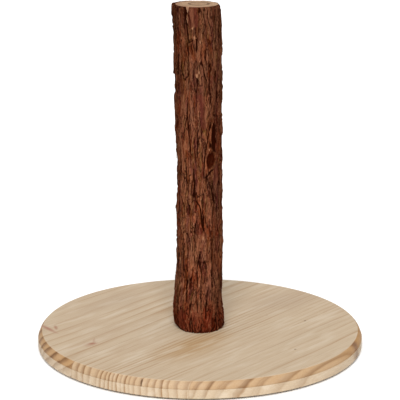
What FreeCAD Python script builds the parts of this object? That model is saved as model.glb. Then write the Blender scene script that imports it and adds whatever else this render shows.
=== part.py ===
"""Paper towel holder: a length of natural branch, bark left on, screwed upright on a round board.

The board is an edge-glued panel of three pine staves, routed round its rim. The branch is a sawn
wood core inside its own bark. Two countersunk wood screws come up through the board into the
branch, and four felt pads keep the board off the worktop. Nothing on it moves.

Frame: millimetres, +Z up, origin at the centre of the footprint, on the surface the pads stand on.
-Y is the front.
"""

import FreeCAD, Part

import math
import os

from FreeCAD import Vector

# ---- driving dimensions, millimetres and degrees ----

BOARD_RADIUS = 140.0
BOARD_THICKNESS = 14.0
GRAIN_ANGLE = 51.0  # direction of the grain, from +X towards +Y
STAVE_JOINTS = (-24.0, 81.0)  # glue joints, measured across the grain from the board's centre

RIM_FLAT_HEIGHT = 7.7  # plain lower part of the rim, as sawn
RIM_LEDGE = 0.6  # step left where the round-over cutter stopped
CUTTER_RADIUS = 8.0
BOTTOM_ARRIS = 0.6  # sanded bottom edge

PAD_RADIUS = 9.0
PAD_THICKNESS = 2.0
PAD_ARRIS = 0.3
PAD_CIRCLE = 112.0  # radius of the circle that the pads lie on
PAD_COUNT = 4
PAD_START = 45.0

POST_HEIGHT = 281.0
BARK_THICKNESS = 2.8

# The branch as it grew: height above the board, lean of its centre along X and along Y, and the
# radius over its bark.
BRANCH_SECTIONS = (
    (0.0, 0.2, 0.0, 19.9),
    (4.0, -0.2, 0.0, 20.9),
    (12.0, -0.8, 0.1, 21.4),
    (24.0, -1.2, 0.2, 20.7),
    (45.0, -0.2, 0.1, 19.9),
    (75.0, 0.3, -0.2, 19.7),
    (110.0, 0.0, -0.4, 19.5),
    (145.0, 0.0, -0.2, 19.3),
    (170.0, -0.8, 0.1, 19.4),
    (200.0, -1.1, 0.4, 19.7),
    (235.0, -1.5, 0.3, 19.9),
    (262.0, -2.1, 0.0, 20.3),
    (POST_HEIGHT, -2.7, -0.2, 20.4),
)
SECTION_POINTS = 14
# Lobes of the section: how many, their size as a share of the radius, and their turn in degrees
# from the foot to the top, as the branch grew with a slight twist.
LOBES = ((2, 0.010, 50.0), (3, 0.009, -70.0), (5, 0.005, 40.0))

SCREW_SPACING = 20.0
SCREW_LENGTH = 50.0
SCREW_SINK = 0.5  # head below the board's underside
HEAD_RADIUS = 4.8
HEAD_RIM = 0.4  # straight edge of the countersunk head
SHANK_RADIUS = 1.9
ROOT_RADIUS = 1.6  # at the bottom of the thread
THREAD_RADIUS = 2.45
THREAD_PITCH = 2.4
THREAD_START = 22.0  # from the head's face
THREAD_FOOT = 1.1  # width of the ridge where it leaves the root
THREAD_CREST = 0.12
POINT_LENGTH = 6.0
POINT_RADIUS = 0.25
DRIVER_DEPTH = 2.4
DRIVER_SPAN = 4.6  # across the wings of the cross recess
DRIVER_WING = 1.0  # width of one wing
DRIVER_TAPER = 0.4  # size at the bottom, as a share of the mouth
CLEARANCE_HOLE_RADIUS = 2.6
COUNTERSINK_RADIUS = 5.1

# ---- levels worked out from them ----

BOARD_BOTTOM = PAD_THICKNESS
BOARD_TOP = BOARD_BOTTOM + BOARD_THICKNESS
POST_TOP = BOARD_TOP + POST_HEIGHT
HEAD_FACE = BOARD_BOTTOM + SCREW_SINK
OVERLAP = 1.0  # how far a cutting tool runs past what it cuts

UP = Vector(0, 0, 1)
ALONG_GRAIN = Vector(math.cos(math.radians(GRAIN_ANGLE)), math.sin(math.radians(GRAIN_ANGLE)), 0)
ACROSS_GRAIN = Vector(ALONG_GRAIN.y, -ALONG_GRAIN.x, 0)


def polar(radius, degrees, height=0.0):
    angle = math.radians(degrees)
    return Vector(radius * math.cos(angle), radius * math.sin(angle), height)


def turned(outline):
    """A closed outline in the XZ plane, turned once round the Z axis."""
    return Part.Face(Part.Wire(outline)).revolve(Vector(0, 0, 0), UP, 360)


def lines(*points):
    """Straight edges joining points given as (radius, height)."""
    corners = [Vector(x, 0, z) for x, z in points]
    return [Part.LineSegment(start, end).toShape() for start, end in zip(corners, corners[1:])]


# ---- board ----


def round_board():
    """The whole disc: a round-over above a plain rim, with a small ledge between them."""
    shoulder = BOARD_BOTTOM + RIM_FLAT_HEIGHT
    arc_foot = BOARD_RADIUS - RIM_LEDGE
    arc_height = BOARD_TOP - shoulder
    arc_end = math.asin(arc_height / CUTTER_RADIUS)

    def on_arc(angle):
        return Vector(
            arc_foot - CUTTER_RADIUS * (1 - math.cos(angle)),
            0,
            shoulder + CUTTER_RADIUS * math.sin(angle),
        )

    top_edge = on_arc(arc_end)
    under = lines(
        (0, BOARD_BOTTOM),
        (BOARD_RADIUS - BOTTOM_ARRIS, BOARD_BOTTOM),
        (BOARD_RADIUS, BOARD_BOTTOM + BOTTOM_ARRIS),
        (BOARD_RADIUS, shoulder),
        (arc_foot, shoulder),
    )
    round_over = Part.Arc(on_arc(0), on_arc(arc_end / 2), top_edge).toShape()
    over = lines((top_edge.x, BOARD_TOP), (0, BOARD_TOP), (0, BOARD_BOTTOM))
    return turned(under + [round_over] + over)


def stave_block(start, end):
    """A block that covers the board between two lines across the grain."""
    reach = BOARD_RADIUS + OVERLAP
    across = ACROSS_GRAIN * (end - start)
    along = ALONG_GRAIN * 2 * reach
    corner = ACROSS_GRAIN * start - ALONG_GRAIN * reach
    outline = Part.makePolygon([corner, corner + across, corner + across + along, corner + along, corner])
    return Part.Face(outline).extrude(UP * (BOARD_TOP + OVERLAP))


def screw_hole(place):
    """Clearance hole through the board, with a 90 degree countersink that the head bears on."""
    cone_start = HEAD_FACE + HEAD_RIM - (COUNTERSINK_RADIUS - HEAD_RADIUS)
    cone_end = cone_start + COUNTERSINK_RADIUS - CLEARANCE_HOLE_RADIUS
    tool = turned(
        lines(
            (0, BOARD_BOTTOM - OVERLAP),
            (COUNTERSINK_RADIUS, BOARD_BOTTOM - OVERLAP),
            (COUNTERSINK_RADIUS, cone_start),
            (CLEARANCE_HOLE_RADIUS, cone_end),
            (CLEARANCE_HOLE_RADIUS, BOARD_TOP + OVERLAP),
            (0, BOARD_TOP + OVERLAP),
            (0, BOARD_BOTTOM - OVERLAP),
        )
    )
    return tool.translated(place)


def staves(screw_places):
    """The panel's three staves, with the screw holes through them."""
    board = round_board()
    for place in screw_places:
        board = board.cut(screw_hole(place))
    outside = BOARD_RADIUS + OVERLAP
    edges = (-outside,) + STAVE_JOINTS + (outside,)
    names = ("stave_left", "stave_centre", "stave_right")
    return {
        name: board.common(stave_block(start, end))
        for name, start, end in zip(names, edges, edges[1:])
    }


# ---- branch ----


def branch_outline(height, lean_x, lean_y, radius):
    """One closed section of the branch, slightly lobed."""
    share = height / POST_HEIGHT
    points = []
    for i in range(SECTION_POINTS):
        turn = 360.0 * i / SECTION_POINTS
        swell = sum(size * math.cos(math.radians(n * turn + twist * share)) for n, size, twist in LOBES)
        points.append(polar(radius * (1 + swell), turn) + Vector(lean_x, lean_y, BOARD_TOP + height))
    curve = Part.BSplineCurve()
    curve.interpolate(points, PeriodicFlag=True)
    return Part.Wire(curve.toShape())


def branch_body(inset):
    """The branch as a solid, its surface set in by a thickness."""
    outlines = [branch_outline(height, x, y, radius - inset) for height, x, y, radius in BRANCH_SECTIONS]
    return Part.makeLoft(outlines, True)


# ---- wood screws ----


def countersunk_blank():
    """Screw without its thread or recess, its head face at z = 0, pointing up."""
    neck = HEAD_RIM + HEAD_RADIUS - SHANK_RADIUS
    relief = SHANK_RADIUS - ROOT_RADIUS
    return turned(
        lines(
            (0, 0),
            (HEAD_RADIUS, 0),
            (HEAD_RADIUS, HEAD_RIM),
            (SHANK_RADIUS, neck),
            (SHANK_RADIUS, THREAD_START - relief),
            (ROOT_RADIUS, THREAD_START),
            (ROOT_RADIUS, SCREW_LENGTH - POINT_LENGTH),
            (POINT_RADIUS, SCREW_LENGTH),
            (0, SCREW_LENGTH),
            (0, 0),
        )
    )


def rectangle(width, depth, height):
    """A level rectangle about the Z axis."""
    x = width / 2
    y = depth / 2
    corners = [Vector(-x, -y, height), Vector(x, -y, height), Vector(x, y, height), Vector(-x, y, height)]
    return Part.makePolygon(corners + corners[:1])


def cross_recess():
    """Driver recess: two crossed wings that narrow towards the bottom."""
    wings = []
    for width, depth in ((DRIVER_SPAN, DRIVER_WING), (DRIVER_WING, DRIVER_SPAN)):
        mouth = rectangle(width, depth, 0)
        bottom = rectangle(width * DRIVER_TAPER, depth * DRIVER_TAPER, DRIVER_DEPTH)
        wings.append(Part.makeLoft([mouth, bottom], True, True))
    return wings[0].fuse(wings[1])


def thread():
    """Helical ridge between the shank and the point, its foot sunk into the root."""
    foot = ROOT_RADIUS - THREAD_CREST
    turns = SCREW_LENGTH - POINT_LENGTH - THREAD_START - THREAD_FOOT
    ridge = lines(
        (foot, -THREAD_FOOT / 2),
        (THREAD_RADIUS, -THREAD_CREST / 2),
        (THREAD_RADIUS, THREAD_CREST / 2),
        (foot, THREAD_FOOT / 2),
        (foot, -THREAD_FOOT / 2),
    )
    path = Part.Wire(Part.makeHelix(THREAD_PITCH, turns, foot))
    coil = path.makePipeShell([Part.Wire(ridge)], True, True)
    return coil.translated(Vector(0, 0, THREAD_START + THREAD_FOOT / 2))


def wood_screw():
    return countersunk_blank().cut(cross_recess()).fuse(thread()).removeSplitter()


# ---- felt pads ----


def felt_pad(place):
    outline = lines(
        (0, 0),
        (PAD_RADIUS - PAD_ARRIS, 0),
        (PAD_RADIUS, PAD_ARRIS),
        (PAD_RADIUS, PAD_THICKNESS),
        (0, PAD_THICKNESS),
        (0, 0),
    )
    return turned(outline).translated(place)


# ---- assembly ----


def build():
    pieces = {}
    screw_places = [ALONG_GRAIN * (side * SCREW_SPACING / 2) for side in (-1, 1)]
    pieces.update(staves(screw_places))
    screw = wood_screw()
    screws = [screw.translated(place + UP * HEAD_FACE) for place in screw_places]
    for number, shape in enumerate(screws, 1):
        pieces[f"post_screw_{number}"] = shape
    core = branch_body(BARK_THICKNESS)
    pieces["branch_bark"] = branch_body(0).cut(core)
    for shape in screws:
        core = core.cut(shape)
    pieces["branch_wood"] = core
    for number in range(PAD_COUNT):
        place = polar(PAD_CIRCLE, PAD_START + 360.0 * number / PAD_COUNT)
        pieces[f"felt_pad_{number + 1}"] = felt_pad(place)
    return pieces


os.makedirs("parts", exist_ok=True)
for name, shape in build().items():
    solids = shape.Solids
    if len(solids) != 1 or not shape.isValid():
        raise ValueError(f"{name}: {len(solids)} solids, valid {shape.isValid()}")
    solids[0].exportStep(f"parts/{name}.step")
    print(f"{name}: {solids[0].Volume / 1000:.2f} cm3")
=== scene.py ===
import math
import random

import bpy
import numpy as np
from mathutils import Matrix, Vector, noise


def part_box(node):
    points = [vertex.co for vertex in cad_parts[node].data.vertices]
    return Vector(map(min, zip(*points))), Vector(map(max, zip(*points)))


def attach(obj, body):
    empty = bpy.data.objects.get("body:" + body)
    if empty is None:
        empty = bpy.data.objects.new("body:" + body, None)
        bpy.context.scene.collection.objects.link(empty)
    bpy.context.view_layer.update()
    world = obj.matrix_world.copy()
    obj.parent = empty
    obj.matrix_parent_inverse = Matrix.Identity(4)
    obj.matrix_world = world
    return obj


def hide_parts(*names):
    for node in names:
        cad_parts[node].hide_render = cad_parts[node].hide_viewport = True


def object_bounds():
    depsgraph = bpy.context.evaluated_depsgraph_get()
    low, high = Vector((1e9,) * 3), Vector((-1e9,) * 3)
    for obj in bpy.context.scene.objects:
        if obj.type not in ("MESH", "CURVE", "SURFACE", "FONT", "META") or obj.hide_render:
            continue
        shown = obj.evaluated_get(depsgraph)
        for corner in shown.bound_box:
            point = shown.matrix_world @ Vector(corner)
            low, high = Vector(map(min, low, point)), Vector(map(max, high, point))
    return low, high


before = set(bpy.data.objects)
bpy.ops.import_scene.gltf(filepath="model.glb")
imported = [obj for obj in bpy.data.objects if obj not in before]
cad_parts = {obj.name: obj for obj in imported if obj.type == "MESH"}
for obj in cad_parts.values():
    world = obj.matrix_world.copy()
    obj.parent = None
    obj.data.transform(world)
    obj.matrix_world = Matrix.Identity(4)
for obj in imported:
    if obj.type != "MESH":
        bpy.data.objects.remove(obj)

cad_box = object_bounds()


# ---- Table, light and camera ----
# A plain pale table that runs out of view, a wide soft sun high in front of the holder, and an even
# white surround. The camera stands 1.6 m away and looks slightly down, as at a holder on a counter.

TABLE_SIZE = 30
TABLE_WHITE = (0.95, 0.95, 0.95, 1)
CAMERA_BACK = 1.52
CAMERA_HEIGHT = 0.532
CAMERA_TILT = 14.85
CAMERA_LENS = 166.2
SENSOR = 36.0
SUN_TURN = -2.0
SUN_HEIGHT = 41.0
SUN_SPREAD = 30.0
SUN_STRENGTH = 3.3
SURROUND_WHITE = (1.0, 0.99, 0.975, 1)
SURROUND_STRENGTH = 0.66

bpy.ops.object.select_all(action="DESELECT")
bpy.ops.mesh.primitive_plane_add(size=TABLE_SIZE, location=(0, 0, 0))
table = bpy.context.object
table.name = "table"
paint = bpy.data.materials.new("table_white")
paint.use_nodes = True
surface = paint.node_tree.nodes["Principled BSDF"]
surface.inputs["Base Color"].default_value = TABLE_WHITE
surface.inputs["Roughness"].default_value = 0.9
surface.inputs["Specular IOR Level"].default_value = 0.1
table.data.materials.append(paint)

bpy.ops.object.light_add(type="SUN", location=(0, 0, 2))
sun = bpy.context.object
sun.rotation_euler = (math.radians(90 - SUN_HEIGHT), 0, math.radians(SUN_TURN))
sun.data.energy = SUN_STRENGTH
sun.data.angle = math.radians(SUN_SPREAD)

world = bpy.data.worlds.new("studio")
world.use_nodes = True
surround = world.node_tree.nodes["Background"]
surround.inputs["Color"].default_value = SURROUND_WHITE
surround.inputs["Strength"].default_value = SURROUND_STRENGTH
bpy.context.scene.world = world
bpy.context.scene.view_settings.view_transform = "Standard"

bpy.ops.object.camera_add(
    location=(0, -CAMERA_BACK, CAMERA_HEIGHT), rotation=(math.radians(90 - CAMERA_TILT), 0, 0)
)
camera = bpy.context.object
camera.data.lens = CAMERA_LENS
camera.data.sensor_width = SENSOR
camera.data.clip_end = 60
bpy.context.scene.camera = camera


# ---- Board: three pine staves ----
# Pale pine, glued edge to edge, cut to a disc, routed round its top edge and sanded, with no stain.
# The rings of each stave are cylinders about its own pith, so the faces and the rim agree.

MM = 0.001
BOARD_RADIUS = cad_box[1].x / MM
# The grain's angle from the X axis, and the glue joints' distances across it from the centre.
GRAIN_TURN = 51.0
JOINTS = (-24.0, 81.0)
GLUE_LINE_WIDTH = 0.45
RING_SWAY = 9.0
PINE_EARLY = (0.487, 0.387, 0.272)
PINE_PALE = (0.556, 0.47, 0.361)
PINE_LATE = (0.283, 0.151, 0.0584)
PINE_AMBER = (0.359, 0.214, 0.0846)
PINE_BROWN = (0.206, 0.113, 0.05)
PINE_ROUTED = (0.329, 0.162, 0.0418)
PINE_END_LINE = (0.116, 0.0469, 0.0125)
# Painted shade, laid in broad spots over the back of the board behind the branch.
PINE_PAINTED_SHADE = (0.34, 0.25, 0.175)
# How far in from the rim the round-over starts, and the height of the ledge below it.
ROUND_OVER_START = 3.7
LEDGE_HEIGHT = 9.7
# Rings show less below the ledge, where the rim was sanded, than on the routed round-over.
LOWER_RIM_LINES = 0.42
AMBER_CONTRAST = 1.1
AMBER_AMOUNT = 0.60
# Darkness through one year's growth, on the end grain of the rim and on the face.
END_PROFILE = ((0.0, 0.35), (0.10, 0.0), (0.40, 0.10), (0.62, 0.55), (0.88, 1.0), (1.0, 0.35))
RING_PROFILE = ((0.0, 0.12), (0.05, 0.0), (0.5, 0.06), (0.82, 0.38), (0.93, 1.0), (1.0, 0.12))


class Nodes:
    """A material's nodes, added and joined in reading order."""

    def __init__(self, name):
        self.material = bpy.data.materials.new(name)
        self.material.use_nodes = True
        self.tree = self.material.node_tree
        self.shader = self.tree.nodes["Principled BSDF"]
        self.place = self.tree.nodes.new("ShaderNodeTexCoord").outputs["Object"]
        self.colour_spots = []

    def add(self, kind, inputs, output=0, **settings):
        node = self.tree.nodes.new(kind)
        for key, value in settings.items():
            setattr(node, key, value)
        for key, value in inputs.items():
            self.plug(node.inputs[key], value)
        return node.outputs[output]

    def plug(self, socket, value):
        if isinstance(value, bpy.types.NodeSocket):
            self.tree.links.new(value, socket)
        else:
            socket.default_value = value

    def math(self, operation, a, b=0.0, clamp=False):
        return self.add("ShaderNodeMath", {0: a, 1: b}, operation=operation, use_clamp=clamp)

    def step(self, value, start, end, low=0.0, high=1.0):
        """low before start, high after end, and a smooth ramp between them."""
        return self.add(
            "ShaderNodeMapRange",
            {"Value": value, "From Min": start, "From Max": end, "To Min": low, "To Max": high},
            interpolation_type="SMOOTHSTEP",
        )

    def mapped(self, scale, turn=0.0, shift=(0, 0, 0), source=None):
        """The place on the piece, or another vector, scaled, then turned in plan, then shifted."""
        vector = self.place if source is None else source
        inputs = {"Vector": vector, "Scale": scale, "Rotation": (0, 0, math.radians(turn)), "Location": shift}
        return self.add("ShaderNodeMapping", inputs)

    def noise(self, vector, detail=2.0, roughness=0.5):
        inputs = {"Vector": vector, "Scale": 1.0, "Detail": detail, "Roughness": roughness}
        return self.add("ShaderNodeTexNoise", inputs)

    def mix(self, factor, under, over):
        """One colour laid over another as thickly as factor says."""
        under = (*under, 1) if isinstance(under, tuple) else under
        over = (*over, 1) if isinstance(over, tuple) else over
        return self.add("ShaderNodeMix", {0: factor, 6: under, 7: over}, output=2, data_type="RGBA")

    def ramp(self, value, *stops):
        """A float read off straight runs between (position, value) stops."""
        node = self.tree.nodes.new("ShaderNodeValToRGB")
        elements = node.color_ramp.elements
        while len(elements) < len(stops):
            elements.new(0.5)
        for element, (position, grey) in zip(elements, stops):
            element.position = position
            element.color = (grey, grey, grey, 1)
        self.plug(node.inputs[0], value)
        return node.outputs[0]

    def bump(self, height, strength, distance):
        inputs = {"Height": height, "Strength": strength, "Distance": distance * MM}
        return self.add("ShaderNodeBump", inputs)


def pine(name, pith_across, pith_height, years, contrast, tint, seed, scorch, rim_lines):
    """Pine whose rings lie round a pith line along the grain; years holds their distances in mm."""
    n = Nodes(name)
    grain = n.mapped((1 / MM, 1 / MM, 1 / MM), -GRAIN_TURN)
    sway = n.noise(n.mapped((0.006, 0.02, 0.02), shift=(seed, 0, 0), source=grain), detail=1.0)
    split = n.add("ShaderNodeSeparateXYZ", {0: grain}).node
    across = n.math("MULTIPLY", split.outputs[1], -1.0)
    height = split.outputs[2]
    swayed = n.math("ADD", across, n.math("MULTIPLY", n.math("SUBTRACT", sway, 0.5), RING_SWAY))
    side = n.math("SUBTRACT", swayed, pith_across)
    rise = n.math("SUBTRACT", height, pith_height)
    distance = n.math("SQRT", n.math("ADD", n.math("MULTIPLY", side, side), n.math("MULTIPLY", rise, rise)))

    nearest = years[0]
    reach = years[-1] - nearest
    most = len(years) - 1
    curve = n.tree.nodes.new("ShaderNodeFloatCurve")
    points = curve.mapping.curves[0].points
    while len(points) < len(years):
        points.new(0.5, 0.5)
    for number, (point, length) in enumerate(zip(points, years)):
        point.location = ((length - nearest) / reach, number / most)
        point.handle_type = "VECTOR"
    curve.mapping.update()
    share = n.math("DIVIDE", n.math("SUBTRACT", distance, nearest), reach)
    n.plug(curve.inputs["Value"], share)
    rings = n.math("MULTIPLY", curve.outputs[0], most)
    uneven = n.noise(n.mapped((0.012, 0.09, 0.09), shift=(0, seed, 0), source=grain), detail=2.0)
    rings = n.math("ADD", rings, n.math("MULTIPLY", n.math("SUBTRACT", uneven, 0.5), 0.5))
    late = n.ramp(n.math("FRACT", rings), *RING_PROFILE)
    whole_year = n.math("FLOOR", n.math("ADD", rings, seed))
    year = n.add("ShaderNodeTexWhiteNoise", {"W": whole_year}, noise_dimensions="1D")
    late = n.math("MULTIPLY", late, n.step(year, 0.0, 1.0, 0.3, 1.0))
    late_end = n.ramp(n.math("FRACT", rings), *END_PROFILE)
    late_end = n.math("MULTIPLY", late_end, n.step(year, 0.0, 1.0, 0.55, 1.0))

    fibre = n.noise(n.mapped((0.03, 1.6, 1.6), source=grain), detail=3.0, roughness=0.6)
    fine = n.noise(n.mapped((0.09, 4.5, 4.5), source=grain), detail=2.0, roughness=0.6)
    cloud = n.noise(n.mapped((0.012, 0.035, 0.035), shift=(seed, seed, 0), source=grain), detail=2.0)
    pale = n.noise(n.mapped((0.022, 0.14, 0.14), shift=(seed, 2 * seed, 0), source=grain), detail=2.0)
    patches = n.noise(n.mapped((0.008, 0.03, 0.03), shift=(seed, 0, seed), source=grain), detail=2.0)

    plan = n.mapped((1 / MM, 1 / MM, 0))
    radius = n.add("ShaderNodeVectorMath", {0: plan}, output=1, operation="LENGTH")
    rim_start = BOARD_RADIUS - ROUND_OVER_START
    rim = n.step(radius, rim_start - 0.1, rim_start + 0.5)
    routed = n.math("MULTIPLY", rim, n.step(height, LEDGE_HEIGHT - 0.05, LEDGE_HEIGHT + 0.1))

    strength = n.math("MULTIPLY", contrast, n.step(patches, 0.35, 0.65, 0.55, 1.45))
    n.masks = {
        "grain": grain, "across": across, "rim": rim, "routed": routed, "late": late, "late_end": late_end,
        "strength": strength, "fibre": fibre, "fine": fine, "cloud": cloud, "pale": pale,
    }
    n.tint = tint
    n.scorch = scorch
    n.rim_lines = rim_lines
    return n


def spot(n, along, across, length, width, turn=0.0, softness=1.0):
    """1 at a place on the board, fading to 0 at an ellipse round it."""
    moved = n.add("ShaderNodeVectorMath", {0: n.masks["grain"], 1: (-along, across, 0)}, operation="ADD")
    shaped = n.mapped((1, 1, 0), turn, source=moved)
    shaped = n.mapped((1 / length, 1 / width, 0), source=shaped)
    away = n.add("ShaderNodeVectorMath", {0: shaped}, output=1, operation="LENGTH")
    return n.step(away, 1.0 - softness, 1.0, 1.0, 0.0)


def colour_spot(n, amount, tone, *where, within=None, **shape):
    """A coloured spot, kept to the rim or to its routed part when within names it."""
    mask = spot(n, *where, **shape)
    if within is not None:
        mask = n.math("MULTIPLY", n.masks[within], mask)
    n.colour_spots.append((mask, amount, tone))


def finish_pine(n, amber=None):
    """Colours the rings, the fibres, the routed edge and the glue lines, and adds the fine relief."""
    x = n.masks
    strength = x["strength"]
    if amber is not None:
        strength = n.math("ADD", strength, n.math("MULTIPLY", amber, AMBER_CONTRAST))
    ring = n.math("MULTIPLY", x["late"], strength, clamp=True)
    colour = n.mix(ring, PINE_EARLY, PINE_LATE)
    colour = n.mix(n.step(x["cloud"], 0.4, 0.7, 0.0, 0.35), colour, n.tint)
    if amber is not None:
        colour = n.mix(n.math("MULTIPLY", amber, AMBER_AMOUNT), colour, PINE_AMBER)
    colour = n.mix(n.step(x["fibre"], 0.35, 0.72, 0.0, 0.27), colour, PINE_LATE)
    colour = n.mix(n.step(x["pale"], 0.50, 0.70, 0.0, 0.42), colour, PINE_PALE)
    colour = n.mix(n.step(x["fine"], 0.4, 0.78, 0.0, 0.14), colour, PINE_BROWN)
    colour = n.mix(n.math("MULTIPLY", x["routed"], n.scorch), colour, PINE_ROUTED)
    lines = n.step(x["routed"], 0.0, 1.0, n.rim_lines * LOWER_RIM_LINES, n.rim_lines)
    on_rim = n.math("MULTIPLY", x["rim"], lines)
    colour = n.mix(n.math("MULTIPLY", x["late_end"], on_rim), colour, PINE_END_LINE)
    for joint in JOINTS:
        near = n.math("ABSOLUTE", n.math("SUBTRACT", x["across"], joint))
        colour = n.mix(n.step(near, 0.0, GLUE_LINE_WIDTH, 0.45, 0.0), colour, PINE_BROWN)
    for mask, amount, tone in n.colour_spots:
        colour = n.mix(n.math("MULTIPLY", mask, amount), colour, tone)
    n.plug(n.shader.inputs["Base Color"], colour)
    n.shader.inputs["Roughness"].default_value = 0.62
    n.shader.inputs["Specular IOR Level"].default_value = 0.3
    relief = n.math("ADD", n.math("MULTIPLY", ring, 0.5), n.math("MULTIPLY", x["fine"], 0.7))
    n.plug(n.shader.inputs["Normal"], n.bump(relief, 0.35, 0.25))
    return n.material


def dress(node, material):
    """Gives a piece its material, and smooth shading except at its edges."""
    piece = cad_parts[node]
    piece.data.materials.clear()
    piece.data.materials.append(material)
    bpy.ops.object.select_all(action="DESELECT")
    bpy.context.view_layer.objects.active = piece
    piece.select_set(True)
    bpy.ops.object.shade_smooth_by_angle(angle=math.radians(25))
    piece.select_set(False)


# Distances of the yearly rings from each stave's pith in mm.
YEARS_LEFT = (100, 112, 120.4, 127.3, 136.4, 144, 151, 160, 172, 181.6, 192, 203, 216)
YEARS_CENTRE = (
    228, 236, 243, 250, 257, 264.5, 269, 274, 278, 282, 286, 290, 294, 297.5, 302, 307.5,
    312.5, 318, 322.5, 327, 334, 341, 350,
)
YEARS_RIGHT = (140, 150, 158, 166, 173, 180, 188, 197.5, 204.3, 213, 220, 230)
KNOT_DARK = (0.12, 0.050, 0.024)
KNOT_RED = (0.27, 0.105, 0.055)
RESIN_RED = (0.31, 0.15, 0.095)
SPECK = (0.10, 0.05, 0.02)

n = pine(
    "pine_left", pith_across=30.0, pith_height=-92.0, years=YEARS_LEFT, contrast=0.62,
    tint=(0.386, 0.277, 0.184), seed=3.1, scorch=0.70, rim_lines=1.0,
)
colour_spot(n, 0.5, RESIN_RED, -95, -41, 11, 7)
colour_spot(n, 0.75, KNOT_RED, -93, -41.5, 5.0, 2.8, turn=20, softness=0.8)
colour_spot(n, 0.5, RESIN_RED, -86, -46, 8, 1.6, turn=-38)
colour_spot(n, 1.0, RESIN_RED, -88, -98, 22, 3.6, turn=-74)
colour_spot(n, 0.75, KNOT_RED, -82, -94, 9, 2.4, turn=-50)
colour_spot(n, 0.35, PINE_LATE, 18, -50, 30, 9)
# Painted shade over the back left of the board, behind the branch.
colour_spot(n, 0.3, PINE_PAINTED_SHADE, 11, -102, 70, 32)
dress("stave_left", finish_pine(n))

n = pine(
    "pine_centre", pith_across=-260.0, pith_height=8.0, years=YEARS_CENTRE, contrast=0.85,
    tint=(0.410, 0.302, 0.201), seed=7.7, scorch=0.34, rim_lines=0.70,
)
amber = spot(n, -44, 30, 66, 27, softness=0.9)
# Painted shade over the back right of the board, behind the branch.
colour_spot(n, 0.4, PINE_PAINTED_SHADE, 104, 14, 70, 40)
colour_spot(n, 0.9, SPECK, 68.5, 62.6, 1.9, 1.1, softness=0.6)
colour_spot(n, 0.5, SPECK, 60, 27.6, 1.2, 0.6, softness=0.6)
colour_spot(n, 0.95, SPECK, -130.6, 45.8, 1.5, 1.0, softness=0.4, within="routed")
dress("stave_centre", finish_pine(n, amber))

n = pine(
    "pine_right", pith_across=-75.0, pith_height=70.0, years=YEARS_RIGHT, contrast=0.50,
    tint=(0.410, 0.319, 0.218), seed=12.4, scorch=0.52, rim_lines=0.78,
)
colour_spot(n, 0.8, SPECK, 3, 100, 1.8, 1.0, softness=0.6)
colour_spot(n, 0.75, PINE_ROUTED, 66, 122, 75, 50, softness=0.9, within="routed")
colour_spot(n, 0.75, KNOT_DARK, 47, 129, 12, 7, within="rim")
dress("stave_right", finish_pine(n))


# ---- Branch wood ----
# The branch's own pale wood, sawn square across at the top. Its rings sit off centre, towards the
# right, as they do in a branch that leans.

PITH_X = -0.9
PITH_Y = 0.6
RING_WIDTH = 1.9
HEART_RADIUS = 7.6
WOOD_PALE = (0.395, 0.251, 0.148)
WOOD_RING = (0.173, 0.0918, 0.0449)
WOOD_HEART_LINE = (0.070, 0.030, 0.012)
WOOD_CAMBIUM = (0.300, 0.130, 0.070)

n = Nodes("branch_end_grain")
place = n.mapped((1 / MM, 1 / MM, 1 / MM), shift=(-PITH_X, -PITH_Y, 0))
wobble = n.noise(n.mapped((0.10, 0.10, 0.004), source=place), detail=3.0, roughness=0.6)
flat = n.mapped((1, 1.08, 0), source=place)
away = n.add("ShaderNodeVectorMath", {0: flat}, output=1, operation="LENGTH")
away = n.math("ADD", away, n.math("MULTIPLY", n.math("SUBTRACT", wobble, 0.5), 5.0))
years = n.math("FRACT", n.math("DIVIDE", away, RING_WIDTH))
ring = n.ramp(years, (0.0, 0.1), (0.1, 0.0), (0.6, 0.25), (0.9, 1.0), (1.0, 0.1))
grit = n.noise(n.mapped((1.4, 1.4, 0.05), source=place), detail=3.0, roughness=0.6)
heart = n.step(away, HEART_RADIUS, HEART_RADIUS + 1.2, 1.0, 0.0)
share = n.math("DIVIDE", away, 20.0)
heart_line = n.ramp(share, (0.0, 0.0), (0.33, 0.0), (0.37, 0.80), (0.46, 1.0), (0.495, 0.0))
heart_gap = n.noise(n.mapped((0.13, 0.13, 0.01), shift=(4, 0, 0), source=place), detail=2.0)
heart_line = n.math("MULTIPLY", heart_line, n.step(heart_gap, 0.38, 0.58, 0.75, 1.0))
pith = n.step(away, 0.5, 1.0, 1.0, 0.0)
edge = n.step(away, 14.0, 18.0)
colour = n.mix(n.math("MULTIPLY", ring, 0.46), WOOD_PALE, WOOD_RING)
colour = n.mix(n.math("MULTIPLY", heart, 0.20), colour, WOOD_RING)
colour = n.mix(n.math("MULTIPLY", heart_line, n.step(grit, 0.35, 0.60, 0.80, 1.0)), colour, WOOD_HEART_LINE)
colour = n.mix(n.math("MULTIPLY", pith, 0.7), colour, WOOD_HEART_LINE)
colour = n.mix(n.math("MULTIPLY", edge, 0.15), colour, WOOD_RING)
colour = n.mix(n.step(away, 16.2, 18.0, 0.0, 0.55), colour, WOOD_CAMBIUM)
colour = n.mix(n.step(grit, 0.45, 0.70, 0.0, 0.3), colour, WOOD_RING)
blotch = n.noise(n.mapped((0.22, 0.07, 0.05), source=place), detail=2.0)
colour = n.mix(n.step(blotch, 0.45, 0.65, 0.0, 0.28), colour, WOOD_RING)
saw = n.noise(n.mapped((0.25, 3.2, 0.25), turn=24.0, source=place), detail=2.0)
n.plug(n.shader.inputs["Base Color"], colour)
n.shader.inputs["Roughness"].default_value = 0.75
n.shader.inputs["Specular IOR Level"].default_value = 0.25
n.plug(n.shader.inputs["Normal"], n.bump(n.math("ADD", saw, n.math("MULTIPLY", grit, 0.6)), 0.5, 0.3))
dress("branch_wood", n.material)


# ---- Bark ----
# Stringy bark left on the branch as it grew: long fibres that part and join again, dark fissures
# between them, flakes in thin layers, and places where the outer bark has come away and the redder
# bark shows.

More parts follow.
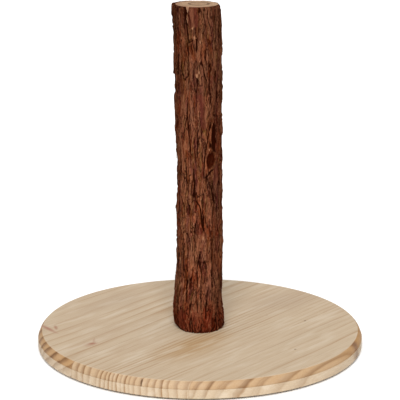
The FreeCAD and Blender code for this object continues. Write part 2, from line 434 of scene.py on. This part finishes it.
BARK_THICKNESS = 2.8
BARK_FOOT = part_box("branch_bark")[0].z / MM
BARK_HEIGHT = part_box("branch_bark")[1].z / MM - BARK_FOOT
MEAN_RADIUS = 20
MM_PER_DEGREE = 0.35
# The mesh: columns round the branch, and rows up its outside, over the sawn end and down the inside.
COLUMNS = 276
ROWS = 344
LIP_ROWS = 7
INNER_ROWS = 8
SIDE_ROWS = ROWS + LIP_ROWS + INNER_ROWS
# How far apart a seam is read to find its slope, and the least bark left over the wood.
SEAM_PROBE = 0.3
LEAST_WALL = 0.35
# How far the bark's inner side lies in the wood, the same in the split, and the saw's roughness.
INNER_SINK = 0.05
SPLIT_SINK = 0.25
SAW_MARK = 0.12
# Lobes of the branch's outline: how many, their size, and their turn from the foot to the top.
LOBES = ((2, 0.010, 50.0), (3, 0.009, -70.0), (5, 0.005, 40.0))
# Height above the board, lean of the centre along X and Y, and radius over the bark.
BRANCH_SECTIONS = (
    (0.0, 0.2, 0.0, 19.9),
    (4.0, -0.2, 0.0, 20.9),
    (12.0, -0.8, 0.1, 21.4),
    (24.0, -1.2, 0.2, 20.7),
    (45.0, -0.2, 0.1, 19.9),
    (75.0, 0.3, -0.2, 19.7),
    (110.0, 0.0, -0.4, 19.5),
    (145.0, 0.0, -0.2, 19.3),
    (170.0, -0.8, 0.1, 19.4),
    (200.0, -1.1, 0.4, 19.7),
    (235.0, -1.5, 0.3, 19.9),
    (262.0, -2.1, 0.0, 20.3),
    (281.0, -2.7, -0.2, 20.4),
)
# Deep cracks: angle from the front and height of the top end, the same of the bottom end, width, depth.
CRACKS = (
    (-30, 281, -26, 266, 1.1, 1.5),
    (-3, 255, -3, 244, 0.9, 1.3),
    (-26, 251, -24, 241, 0.9, 1.2),
    (-23, 251.5, -12, 253.5, 0.6, 0.8),
    (-13, 251, -5, 236, 0.7, 0.9),
    (14, 238, 19, 231, 0.7, 1.1),
    (19, 231, 19, 223, 0.8, 1.3),
    (43, 181, 42, 160, 3.0, 2.6),
    (23, 139.5, 29, 143, 1.2, 1.4),
    (30, 142, 39, 143.5, 1.0, 1.3),
    (13, 136.5, 22, 139, 0.8, 1.1),
    (17, 138, 14, 132, 0.7, 0.9),
    (-18, 144, -12, 118, 0.8, 1.1),
    (-12, 118, 0, 112, 0.7, 1.0),
    (0, 112, 9, 91, 0.8, 1.1),
    (-27, 113, -30, 104, 0.7, 0.9),
    (-37, 60, -33, 28, 0.8, 1.1),
    (-74, 69, -71, 54, 1.6, 1.8),
    (30, 90, 36, 30, 0.8, 1.0),
    (24, 40, 16, 13, 0.8, 1.2),
    (57, 30, 56, 8, 0.9, 1.2),
    (-62, 244, -57, 224, 1.0, 1.4),
    (-26, 268, -23, 252, 0.8, 1.1),
    (16, 275, 19, 266, 0.7, 0.9),
    (-12, 169, -12, 150, 0.6, 0.7),
    (-39, 151, -37, 136, 0.6, 0.7),
    (-37, 136, -33, 125, 0.6, 0.7),
    (36, 133, 34, 125, 0.8, 1.0),
    (34, 125, 40, 114, 0.8, 1.1),
    (40, 114, 36, 99, 0.8, 1.0),
    (-34, 117, -25, 109, 0.8, 1.1),
    (-54, 119, -43, 109, 0.8, 1.0),
    (0, 72, -8, 58, 0.8, 1.1),
    (-8, 58, -6, 42, 0.8, 1.0),
    (7, 63.5, 23, 63, 0.6, 0.8),
    (9, 57.5, 21, 58, 0.5, 0.7),
    (-4, 30, -2, 19, 0.6, 0.9),
    (-52, 40, -56, 18, 0.7, 0.9),
    (30, 215, 33, 196, 0.7, 0.8),
    (-28, 206, -31, 186, 0.7, 0.9),
)
# Places where the outer bark has come away: angle, height, half width in degrees, half height.
BARE_PATCHES = (
    (-10, 273, 12, 10),
    (7, 201, 9, 8),
    (12, 188, 8, 9),
    (-47, 11, 10, 8),
    (48, 139, 9, 8),
    (150, 230, 16, 14),
    (-140, 120, 12, 18),
    (95, 60, 10, 16),
)
# Torn pale fibres: angle, height, half width in degrees, half height.
PALE_TEARS = (
    (-11, 264, 1.6, 1.2),
    (-8.4, 256, 1.4, 2.0),
    (5.4, 252.5, 1.8, 1.6),
    (-3, 223.5, 2.4, 2.2),
    (1.7, 227, 1.6, 1.2),
    (26, 161, 1.5, 1.3),
    (7, 85, 2.2, 3.0),
    (-1.5, 42.5, 1.4, 1.6),
    (-57, 63, 1.6, 4.0),
    (-24, 271, 1.5, 3.0),
)
# The knot: angle, height, half width in degrees, half height, and how many times that it disturbs.
KNOT = (28.5, 151.5, 12.0, 8.0)
KNOT_REACH = 2.2
# Sides where the bark is darker, painted shade on the left, painted shade over darker bark on the right and a
# darker tone at the back: angle of the middle, half width in degrees, amount.
DARK_SIDES = ((62, 34, 0.34), (-77, 34, 0.40), (170, 50, 0.20))
# Darker places, painted shade at the foot's sides and down the right side, and one beside the cracks at the
# top left: angle, height, half width in degrees, half height, amount.
DARK_SPOTS = (
    (-50, 10, 24, 13, 0.22),
    (50, 12, 30, 18, 0.42),
    (42, 126, 16, 18, 0.30),
    (47, 172, 14, 16, 0.30),
    (-30, 262, 7, 16, 0.35),
    (34, 30, 14, 12, 0.30),
    (37, 159, 10, 6, 0.50),
    (30, 151, 20, 14, 0.22),
)
# Thick plates of outer bark with torn ends: angle, height, half width in degrees, half height, rise.
RAISED_PLATES = (
    (-88, 243, 30, 20, 0.8),
    (84, 218, 22, 14, 0.15),
    (-86, 96, 24, 15, 0.5),
    (82, 64, 24, 17, 0.3),
    (-84, 33, 22, 14, 0.4),
    (-150, 60, 26, 30, 0.7),
    (140, 150, 24, 26, 0.7),
    (178, 235, 20, 22, 0.6),
)
# A split at the top edge where the wood shows: angle, and half width at the top, in degrees, and depth.
NOTCH_ANGLE = -25.6
NOTCH_TURN = 4.4
NOTCH_DEPTH = 6.5


def branch_at(height):
    """Centre and radius of the branch at a height, on a smooth line through its sections."""
    heights = [section[0] for section in BRANCH_SECTIONS]
    height = min(max(height, heights[0]), heights[-1])
    index = min(np.searchsorted(heights, height, side="right") - 1, len(heights) - 2)
    low, high = BRANCH_SECTIONS[index], BRANCH_SECTIONS[index + 1]
    before = BRANCH_SECTIONS[max(index - 1, 0)]
    after = BRANCH_SECTIONS[min(index + 2, len(heights) - 1)]
    share = (height - low[0]) / (high[0] - low[0])
    found = []
    for item in (1, 2, 3):
        rise = high[0] - low[0]
        start = (high[item] - before[item]) / (high[0] - before[0]) * rise
        end = (after[item] - low[item]) / (after[0] - low[0]) * rise
        s2, s3 = share**2, share**3
        found.append(
            (2 * s3 - 3 * s2 + 1) * low[item]
            + (s3 - 2 * s2 + share) * start
            + (3 * s2 - 2 * s3) * high[item]
            + (s3 - s2) * end
        )
    return found


def outline_radius(angle, height, radius):
    """Radius in one direction, over the branch's lobes; angle is from the front."""
    share = height / BARK_HEIGHT
    turn = angle - 90.0
    swell = sum(size * math.cos(math.radians(n * turn + twist * share)) for n, size, twist in LOBES)
    return radius * (1 + swell)


def smooth(value, start, end):
    """0 before start, 1 after end, and a smooth ramp between them."""
    share = min(max((value - start) / (end - start), 0.0), 1.0)
    return share * share * (3 - 2 * share)


def turn_between(a, b):
    """The turn from b to a in degrees, the short way round."""
    return (a - b + 180.0) % 360.0 - 180.0


def ellipse(angle, height, mark, power=2):
    """Distance from a mark's centre, with 1 on its outline; a higher power gives a squarer outline."""
    centre, level, half_turn, half_height = mark
    across = abs(turn_between(angle, centre)) / half_turn
    up = abs(height - level) / half_height
    return (across**power + up**power) ** (1 / power)


def crack_depth(angle, height, jitter):
    """Depth of the deepest crack at a place in mm."""
    deepest = 0.0
    for top_angle, top, foot_angle, foot, width, depth in CRACKS:
        if height > top + 3 and height > foot + 3 or height < foot - 3 and height < top - 3:
            continue
        across = turn_between(angle, top_angle) * MM_PER_DEGREE
        run = turn_between(foot_angle, top_angle) * MM_PER_DEGREE
        fall = foot - top
        share = (across * run + (height - top) * fall) / (run * run + fall * fall)
        share = min(max(share, 0.0), 1.0)
        away = math.hypot(across - run * share, height - top - fall * share)
        taper = 0.55 + 0.45 * math.sin(math.pi * share)
        near = 1 - smooth(away + jitter * 0.3, 0.2 * width, 1.3 * width * taper)
        deepest = max(deepest, near * depth)
    return deepest


def round_branch(turn):
    """X and Y on a circle of the branch's mean radius, at a turn in radians from the front."""
    return MEAN_RADIUS * math.sin(turn), -MEAN_RADIUS * math.cos(turn)


def seam(moved, height, width, length, shift):
    """Long seams between fibres: mm from the nearest one, and which side of it lies further out."""
    here, beside = (
        noise.noise(Vector((x / width, y / width, height / length + shift)))
        for x, y in (round_branch(moved), round_branch(moved + SEAM_PROBE / MEAN_RADIUS))
    )
    slope = abs(beside - here) / SEAM_PROBE
    return abs(here) / max(slope, 0.22 / width), math.tanh(here * 4)


def plate_rise(angle, height, ragged=0.0):
    """How far the outer bark's thick plates stand over the branch's outline in mm."""
    rise = -0.25 - 0.3 * math.sin(math.radians(angle))
    for plate in RAISED_PLATES:
        rise += plate[4] * (1 - smooth(ellipse(angle, height, plate[:4], 6) + ragged, 0.94, 1.0))
    rightward = math.sin(math.radians(angle))
    rise -= 0.9 * smooth(height, 12, 35) * (1 - smooth(height, 125, 165)) * max(rightward, 0.0)
    rise -= 1.2 * math.exp(-(((height - 250) / 16) ** 2)) * max(-rightward, 0.0)
    lean = smooth(height, 250, BARK_HEIGHT)
    return rise - 0.6 * lean * rightward - 0.1 * lean


def bark_surface(angle, height):
    """Relief over the branch's outline in mm, and the marks that colour it."""
    x, y = round_branch(math.radians(angle))
    sway = noise.noise(Vector((x / 13, y / 13, height / 46)))
    sway2 = noise.noise(Vector((x / 5, y / 5, height / 14 + 40)))
    jag = noise.noise(Vector((x / 1.8, y / 1.8, height / 4 + 17)))
    moved = math.radians(angle + 10 * sway + 3.0 * sway2 + 1.2 * jag)
    gap, side = seam(moved, height, 5.4, 44, 11)
    gap2, side2 = seam(moved, height, 2.7, 24, 23)
    gap3, side3 = seam(moved, height, 1.5, 13, 37)
    swell = noise.noise(Vector((x / 9, y / 9, height / 40 + 57)))
    scab = noise.noise(Vector((x / 4, y / 4, height / 9 + 71)))
    flake = noise.noise(Vector((x / 7 + 0.3 * jag, y / 7, height / 17 + 83))) + 0.08 * jag
    open1 = smooth(noise.noise(Vector((x / 6, y / 6, height / 22 + 91))), -0.3, 0.3)
    open2 = smooth(noise.noise(Vector((x / 4, y / 4, height / 13 + 95))), -0.3, 0.35)
    open3 = smooth(noise.noise(Vector((x / 3, y / 3, height / 8 + 99))), -0.3, 0.35)

    fissure = (1 - smooth(gap, 0.15, 0.75)) * (0.1 + 0.9 * open1)
    split = (1 - smooth(gap2, 0.1, 0.55)) * (0.1 + 0.9 * open2)
    line = (1 - smooth(gap3, 0.05, 0.45)) * (0.1 + 0.9 * open3)
    fray = math.exp(-(((gap2 - 0.65) / 0.3) ** 2)) * (side2 > 0) * open3

    bare = 0.0
    for patch in BARE_PATCHES:
        bare = max(bare, 1 - smooth(ellipse(angle, height, patch, 4) + 0.30 * sway2 + 0.20 * jag, 0.9, 1.05))
    pale = 0.0
    for tear in PALE_TEARS:
        pale = max(pale, 1 - smooth(ellipse(angle, height, tear) + 0.5 * jag, 0.5, 1.15))
    knot = ellipse(angle - 0.5 * (height - KNOT[1]), height, KNOT) + 0.30 * sway2 + 0.18 * jag
    crack = crack_depth(angle, height, jag)

    relief = 0.25 * swell + 0.24 * side + 0.18 * side2 + 0.09 * side3 + 0.40 * smooth(scab, 0.08, 0.14)
    relief += 0.60 * smooth(flake, 0.02, 0.05) - 0.30 + plate_rise(angle, height, 0.10 * sway2 + 0.06 * jag)
    relief -= 0.9 * fissure + 0.55 * split + 0.25 * line
    relief = relief * (1 - 0.8 * bare) - 0.75 * bare
    if knot < KNOT_REACH:
        collar = math.exp(-(((knot - 1.05) / 0.28) ** 2))
        hollow = 1 - smooth(knot, 0.45, 0.95)
        relief = relief * smooth(knot, 0.7, 1.6) + 0.35 * collar - 1.1 * hollow
        fissure *= smooth(knot, 0.9, 1.6)
        split *= smooth(knot, 0.9, 1.6)
    relief = relief + 0.35 * pale - crack
    # Fissures, cracks, splits and the edges of scales and flakes are painted near black: painted shade in
    # them, beyond what their depth in the mesh gives.
    scale_edge = (1 - smooth(abs(scab - 0.10), 0.0, 0.05)) * open3
    flake_edge = (1 - smooth(abs(flake - 0.03), 0.0, 0.035)) * open2
    shallow = 0.8 * split + 0.5 * line + 0.4 * scale_edge + 0.5 * flake_edge
    dark = min(1.0, 0.95 * fissure + shallow * (1 - bare) + 0.9 * crack)
    # Painted shade down the left and right sides and at the foot, over darker bark on the right, and a darker
    # tone at the back.
    shade_and_tone = sum(
        amount * (1 - smooth(abs(turn_between(angle + 14 * sway + 8 * sway2, middle)) / half, 0.55, 1.0))
        for middle, half, amount in DARK_SIDES
    )
    for place in DARK_SPOTS:
        shade_and_tone = max(shade_and_tone, place[4] * (1 - smooth(ellipse(angle, height, place[:4]) + 0.25 * sway2, 0.4, 1.0)))
    rolled = math.exp(-(((knot - 1.15) / 0.2) ** 2)) * smooth(jag + sway2, -0.3, 0.3)
    marks = {
        "shade_and_tone": shade_and_tone,
        "furrow_shade": dark * (1 - pale),
        "plate": smooth(flake, 0.0, 0.06) * (1 - bare),
        "strand": (0.5 + 0.35 * side2 + 0.15 * side3) * smooth(knot, 0.7, 1.1),
        "fray": fray * (1 - bare) * (1 - dark),
        "bare": bare,
        "pale": pale,
        "knot": max(0.0, 1 - smooth(knot, 0.75, 0.98)),
        "collar": rolled if knot < KNOT_REACH else 0.0,
    }
    return relief, marks


def worn_back(angle, height):
    """How far the bark's edges at the sawn top end and at the foot lie inside its outline in mm."""
    facing = max(math.cos(math.radians(angle)), 0.0)
    top = 0.9 * (1 - smooth(BARK_HEIGHT - height, 0.0, 1.8)) ** 2
    foot = (1.7 - 1.6 * facing) * (1 - smooth(height, 0.0, 5.0)) ** 2
    flare = 0.7 * facing * (1 - smooth(height, 4.0, 30.0))
    return top + (foot - flare)


def split_open(angle, height):
    """1 in the split at the top edge and 0 beside it."""
    gap = NOTCH_TURN * (1 - (BARK_HEIGHT - height) / NOTCH_DEPTH)
    return 1 - smooth(abs(turn_between(angle, NOTCH_ANGLE)), gap, gap + 1.6) if gap > 0 else 0.0


MARK_NAMES = ("shade_and_tone", "furrow_shade", "plate", "strand", "fray", "bare", "pale", "knot", "collar")

bpy.ops.object.select_all(action="DESELECT")
bpy.ops.mesh.primitive_grid_add(x_subdivisions=SIDE_ROWS, y_subdivisions=COLUMNS, size=1)
bark = bpy.context.object
bark.name = "bark"
painted = {name: np.zeros(len(bark.data.vertices), np.float32) for name in MARK_NAMES}
for column in range(COLUMNS + 1):
    angle = 360.0 * (column % COLUMNS) / COLUMNS - 180.0
    direction = Vector((math.sin(math.radians(angle)), -math.cos(math.radians(angle)), 0))
    for step in range(SIDE_ROWS + 1):
        row = step % SIDE_ROWS
        vertex = bark.data.vertices[column * (SIDE_ROWS + 1) + step]
        if row < ROWS:
            height = BARK_HEIGHT * row / (ROWS - 1)
            inset = 0.0
        elif row < ROWS + LIP_ROWS:
            height = BARK_HEIGHT
            inset = (row - ROWS + 1) / LIP_ROWS
        else:
            height = BARK_HEIGHT * (1 - (row - ROWS - LIP_ROWS) / (INNER_ROWS - 1))
            inset = 1.0
        lean_x, lean_y, radius = branch_at(height)
        outer = outline_radius(angle, height, radius)
        inner = outline_radius(angle, height, radius - BARK_THICKNESS)
        relief, marks = bark_surface(angle, height)
        out = max(outer + relief - worn_back(angle, height), inner + LEAST_WALL)
        out = out + (inner - SPLIT_SINK - out) * split_open(angle, height)
        out = out + (inner - INNER_SINK - out) * inset
        z = BARK_FOOT + height
        if ROWS <= row < ROWS + LIP_ROWS:
            bite = noise.noise(Vector((out * direction.x / 0.9, out * direction.y / 0.9, 3)))
            z += SAW_MARK * bite - SAW_MARK / 2
        vertex.co = (Vector((lean_x, lean_y, z)) + direction * out) * MM
        for name in MARK_NAMES:
            painted[name][vertex.index] = marks[name]
for name in MARK_NAMES:
    attribute = bark.data.attributes.new(name, "FLOAT", "POINT")
    attribute.data.foreach_set("value", painted[name])
bpy.ops.object.shade_smooth()
bpy.ops.object.mode_set(mode="EDIT")
bpy.ops.mesh.select_all(action="SELECT")
bpy.ops.mesh.remove_doubles(threshold=1e-6)
bpy.ops.mesh.normals_make_consistent(inside=False)
bpy.ops.object.mode_set(mode="OBJECT")

BARK_PLUM = (0.112, 0.026, 0.0214)
BARK_BODY = (0.151, 0.0389, 0.0131)
BARK_RIDGE = (0.358, 0.137, 0.0716)
BARK_OLIVE = (0.139, 0.0629, 0.0172)
BARK_RED = (0.219, 0.0398, 0.0126)
BARK_BARE = (0.136, 0.0328, 0.0214)
BARK_KNOT = (0.024, 0.003, 0.0006)
BARK_TORN = (0.273, 0.0735, 0.0239)
BARK_FOOT_RED = (0.165, 0.021, 0.007)
BARK_DARK = (0.015, 0.0021, 0.0005)
BARK_PALE = (0.468, 0.229, 0.119)

n = Nodes("stringy_bark")
place = n.mapped((1 / MM, 1 / MM, 1 / MM))
marks = {name: n.add("ShaderNodeAttribute", {}, output=2, attribute_name=name) for name in MARK_NAMES}
level = n.add("ShaderNodeSeparateXYZ", {0: place}, output=2)
whole = n.math("SUBTRACT", 1.0, n.math("MULTIPLY", marks["bare"], 0.75))
wander = n.noise(n.mapped((0.10, 0.10, 0.035), source=place), detail=2.0).node.outputs[1]
swayed = n.add("ShaderNodeVectorMath", {0: place, 1: n.mapped((9.0, 9.0, 0), source=wander)}, operation="ADD")
streak = n.noise(n.mapped((0.30, 0.30, 0.012), source=swayed), detail=3.0, roughness=0.65)
rift = n.noise(n.mapped((0.34, 0.34, 0.020), shift=(5, 0, 0), source=swayed), detail=3.0, roughness=0.55)
crease = n.noise(n.mapped((0.62, 0.62, 0.040), shift=(0, 9, 0), source=swayed), detail=2.0, roughness=0.5)
thread = n.noise(n.mapped((1.9, 1.9, 0.09), source=swayed), detail=3.0, roughness=0.6)
hair = n.noise(n.mapped((5.0, 5.0, 0.4), source=place), detail=2.0, roughness=0.6)
mottle = n.noise(n.mapped((0.9, 0.9, 0.17), source=swayed), detail=3.0, roughness=0.65)
cloud = n.noise(n.mapped((0.06, 0.06, 0.03), source=place), detail=2.0)
rough = n.noise(n.mapped((0.12, 0.12, 0.045), shift=(3, 3, 3), source=place), detail=2.0)
# Thin crevices, dented only slightly by the bump and painted dark: painted shade in them.
rift_line = n.step(n.math("ABSOLUTE", n.math("SUBTRACT", rift, 0.5)), 0.006, 0.032, 1.0, 0.0)
rift_line = n.math("MULTIPLY", rift_line, n.step(rough, 0.38, 0.55, 0.25, 1.0))
crease_line = n.step(n.math("ABSOLUTE", n.math("SUBTRACT", crease, 0.5)), 0.004, 0.034, 1.0, 0.0)
crease_line = n.math("MULTIPLY", crease_line, n.step(mottle, 0.40, 0.58, 0.1, 1.0))
fibre_line = n.step(n.math("ABSOLUTE", n.math("SUBTRACT", crease, 0.555)), 0.0, 0.022, 1.0, 0.0)
fibre_line = n.math("MULTIPLY", fibre_line, n.step(mottle, 0.42, 0.60, 1.0, 0.1))

colour = n.mix(n.step(streak, 0.38, 0.50), BARK_PLUM, BARK_BODY)
colour = n.mix(n.step(streak, 0.53, 0.62, 0.0, 0.9), colour, BARK_OLIVE)
colour = n.mix(n.step(cloud, 0.46, 0.62, 0.0, 0.6), colour, BARK_RED)
colour = n.mix(n.math("MULTIPLY", marks["bare"], 0.8), colour, BARK_BARE)
colour = n.mix(n.math("MULTIPLY", marks["plate"], 0.22), colour, BARK_RIDGE)
colour = n.mix(n.step(marks["strand"], 0.3, 0.95, 0.0, 0.45), colour, BARK_RIDGE)
colour = n.mix(n.math("MULTIPLY", n.step(mottle, 0.50, 0.66, 0.0, 0.50), whole), colour, BARK_RIDGE)
colour = n.mix(n.math("MULTIPLY", n.step(mottle, 0.32, 0.46, 0.40, 0.0), whole), colour, BARK_DARK)
stain = n.math("ADD", level, n.math("MULTIPLY", streak, 26.0))
colour = n.mix(n.step(stain, BARK_FOOT + 20, BARK_FOOT + 48, 0.72, 0.0), colour, BARK_FOOT_RED)
colour = n.mix(n.step(thread, 0.40, 0.6, 0.45, 0.0), colour, BARK_DARK)
colour = n.mix(n.step(hair, 0.5, 0.75, 0.0, 0.35), colour, BARK_DARK)
colour = n.mix(n.math("MULTIPLY", n.math("MULTIPLY", fibre_line, whole), 0.45), colour, BARK_PALE)
# Painted shade in the thin crevices.
colour = n.mix(n.math("MULTIPLY", n.math("MULTIPLY", crease_line, whole), 0.78), colour, BARK_DARK)
colour = n.mix(n.math("MULTIPLY", n.math("MULTIPLY", rift_line, whole), 0.92), colour, BARK_DARK)
colour = n.mix(n.math("MULTIPLY", marks["fray"], 0.3), colour, BARK_PALE)
colour = n.mix(n.math("MULTIPLY", marks["collar"], 0.22), colour, BARK_TORN)
# Painted shade down the sides and at the foot, with the darker bark on the right and the darker tone at the
# back.
colour = n.mix(marks["shade_and_tone"], colour, BARK_DARK)
# Painted shade, darker towards the top of the branch.
colour = n.mix(n.step(level, BARK_FOOT + 120, BARK_FOOT + BARK_HEIGHT, 0.0, 0.26), colour, BARK_DARK)
colour = n.mix(n.math("MULTIPLY", marks["pale"], 0.8), colour, BARK_PALE)
# The knot's dark wood, painted near black with painted shade in its hollow.
colour = n.mix(n.math("MULTIPLY", marks["knot"], n.step(mottle, 0.4, 0.6, 1.0, 0.9)), colour, BARK_KNOT)
# Painted shade in the fissures, cracks and splits and at the edges of scales and flakes.
colour = n.mix(n.step(marks["furrow_shade"], 0.1, 0.9, 0.0, 0.97), colour, BARK_DARK)
n.plug(n.shader.inputs["Base Color"], colour)
n.shader.inputs["Roughness"].default_value = 0.8
n.shader.inputs["Specular IOR Level"].default_value = 0.0
relief = n.math("ADD", thread, n.math("MULTIPLY", hair, 0.5))
relief = n.math("ADD", relief, n.math("MULTIPLY", mottle, 0.8))
relief = n.math("SUBTRACT", relief, n.math("MULTIPLY", n.math("ADD", rift_line, crease_line), 0.5))
n.plug(n.shader.inputs["Normal"], n.bump(relief, 1.0, 0.7))
bark.data.materials.append(n.material)
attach(bark, "root")
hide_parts("branch_bark")


# ---- Loose strips of bark ----
# Thin strings of the outer bark that have parted from it along part of their length. Each stays
# held in the middle, and its pointed ends stand a little off the branch.

# Angle and height of the lower end, the same of the upper end, width, and how far the ends stand off.
LOOSE_STRIPS = (
    (-77, 223, -68, 250, 3.2, 0.6),
    (-62, 224, -60, 252, 1.8, 0.4),
    (-6, 236, -14, 252, 1.6, 0.5),
    (20, 221, 13, 240, 2.0, 0.4),
    (76, 236, 82, 262, 2.6, 0.3),
    (-80, 56, -73, 72, 2.2, 0.9),
    (80, 76, 74, 96, 2.4, 0.4),
    (84, 20, 80, 48, 3.0, 0.4),
    (-84, 150, -79, 176, 2.8, 0.2),
    (40, 14, 34, 40, 1.8, 0.4),
)
RANDOM_STRIPS = 130
STRIP_LENGTH_STEPS = 22
STRIP_WIDTH_STEPS = 4
STRIP_THICKNESS = 0.35

# Strips keep clear of the bare patches, the knot and the cracks.
avoided = [*BARE_PATCHES, KNOT]
avoided += [((a + c) / 2, (b + d) / 2, 1, abs(b - d) / 2) for a, b, c, d, *_ in CRACKS]

chance = random.Random(7)
strips = list(LOOSE_STRIPS)
for number in range(RANDOM_STRIPS):
    angle = chance.uniform(-180, 180)
    foot = chance.uniform(3, BARK_HEIGHT - 32)
    length = chance.uniform(12, 30)
    lean = chance.gauss(0, 5)
    width = chance.uniform(1.0, 2.4)
    stand_off = chance.uniform(0.1, 0.6)
    middle = (angle + lean / 2, foot + length / 2)
    if min(ellipse(*middle, (a, h, da + 8, dh + length / 2), 4) for a, h, da, dh in avoided) > 1:
        strips.append((angle, foot, angle + lean, foot + length, width, stand_off))

made = []
for foot_angle, foot, top_angle, top, width, stand_off in strips:
    bpy.ops.object.select_all(action="DESELECT")
    bpy.ops.mesh.primitive_grid_add(
        x_subdivisions=STRIP_WIDTH_STEPS, y_subdivisions=STRIP_LENGTH_STEPS, size=1
    )
    strip = bpy.context.object
    tone = chance.uniform(0.25, 1.0)
    for vertex in strip.data.vertices:
        share = vertex.co.y + 0.5
        height = foot + (top - foot) * share
        taper = math.sin(math.pi * min(max(share, 0.02), 0.98)) ** 0.55
        ragged = 0.5 * noise.noise(Vector((foot, height / 2.5, vertex.co.x)))
        across = vertex.co.x * width * taper + ragged
        angle = foot_angle + (top_angle - foot_angle) * share + math.degrees(across / MEAN_RADIUS)
        lean_x, lean_y, radius = branch_at(height)
        relief, marks = bark_surface(angle, height)
        relief = max(relief, plate_rise(angle, height) + 0.15)
        curl = stand_off * abs(2 * share - 1) ** 3
        bow = 0.25 * (1 - (2 * vertex.co.x) ** 2)
        out = outline_radius(angle, height, radius) + relief + curl + bow
        x = lean_x + out * math.sin(math.radians(angle))
        y = lean_y - out * math.cos(math.radians(angle))
        vertex.co = Vector((x, y, BARK_FOOT + height)) * MM
    for name in MARK_NAMES:
        attribute = strip.data.attributes.new(name, "FLOAT", "POINT")
        value = {"plate": tone, "strand": tone, "fray": 0.25 * tone, "shade_and_tone": marks["shade_and_tone"]}.get(name, 0.0)
        attribute.data.foreach_set("value", np.full(len(strip.data.vertices), value, np.float32))
    wall = strip.modifiers.new("wall", "SOLIDIFY")
    wall.thickness = STRIP_THICKNESS * MM
    wall.offset = -1
    bpy.ops.object.modifier_apply(modifier="wall")
    made.append(strip)
for strip in made:
    strip.select_set(True)
bpy.context.view_layer.objects.active = made[0]
bpy.ops.object.join()
strings = bpy.context.object
strings.name = "bark_strings"
bpy.ops.object.transform_apply(location=True, rotation=True, scale=True)
bpy.ops.object.shade_smooth_by_angle(angle=math.radians(40))
strings.data.materials.append(bark.data.materials[0])
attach(strings, "root")


# ---- Screws ----
# Two countersunk wood screws, bright zinc plated, driven up through the board into the branch.
# Their heads, cross recesses and threads are cut, so they only get their plating here.

ZINC_DARK = (0.62, 0.61, 0.58)
ZINC_LIGHT = (0.72, 0.71, 0.66)

n = Nodes("zinc_plate")
drawn = n.noise(n.mapped((2500, 2500, 300)), detail=2.0)
colour = n.mix(n.step(drawn, 0.3, 0.7), ZINC_DARK, ZINC_LIGHT)
n.plug(n.shader.inputs["Base Color"], colour)
n.shader.inputs["Metallic"].default_value = 1.0
n.plug(n.shader.inputs["Roughness"], n.step(drawn, 0.2, 0.8, 0.28, 0.42))
n.plug(n.shader.inputs["Normal"], n.bump(drawn, 0.2, 0.02))
for number in (1, 2):
    dress(f"post_screw_{number}", n.material)


# ---- Felt pads ----
# Discs punched from pressed brown felt with an adhesive back, stuck under the board near its edge.
# Their cut edges are soft and a little rounded.

PAD_ARRIS = 0.6
PAD_MARGIN = 0.1
PAD_SIDES = 72
FELT_DARK = (0.105, 0.065, 0.040)
FELT_LIGHT = (0.27, 0.18, 0.115)

n = Nodes("pressed_felt")
fibres = n.noise(n.mapped((1800, 1800, 1800)), detail=4.0, roughness=0.7)
tangle = n.noise(n.mapped((500, 500, 700)), detail=3.0, roughness=0.6)
colour = n.mix(n.step(fibres, 0.3, 0.7), FELT_DARK, FELT_LIGHT)
n.plug(n.shader.inputs["Base Color"], colour)
n.shader.inputs["Roughness"].default_value = 0.95
n.shader.inputs["Sheen Weight"].default_value = 0.3
n.plug(n.shader.inputs["Normal"], n.bump(n.math("ADD", fibres, tangle), 0.8, 0.3))
for number in range(1, 5):
    low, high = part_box(f"felt_pad_{number}")
    middle = (low + high) / 2
    bpy.ops.object.select_all(action="DESELECT")
    radius = (high.x - low.x) / 2 - PAD_MARGIN * MM
    bpy.ops.mesh.primitive_cylinder_add(
        vertices=PAD_SIDES, radius=radius, depth=high.z - low.z, location=middle
    )
    pad = bpy.context.object
    pad.name = f"felt_pad_soft_{number}"
    bpy.ops.object.transform_apply(location=True, rotation=True, scale=True)
    bevel = pad.modifiers.new("soft_edge", "BEVEL")
    bevel.width = PAD_ARRIS * MM
    bevel.segments = 4
    bpy.ops.object.modifier_apply(modifier="soft_edge")
    bpy.ops.object.shade_smooth_by_angle(angle=math.radians(50))
    pad.data.materials.append(n.material)
    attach(pad, "root")
    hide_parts(f"felt_pad_{number}")
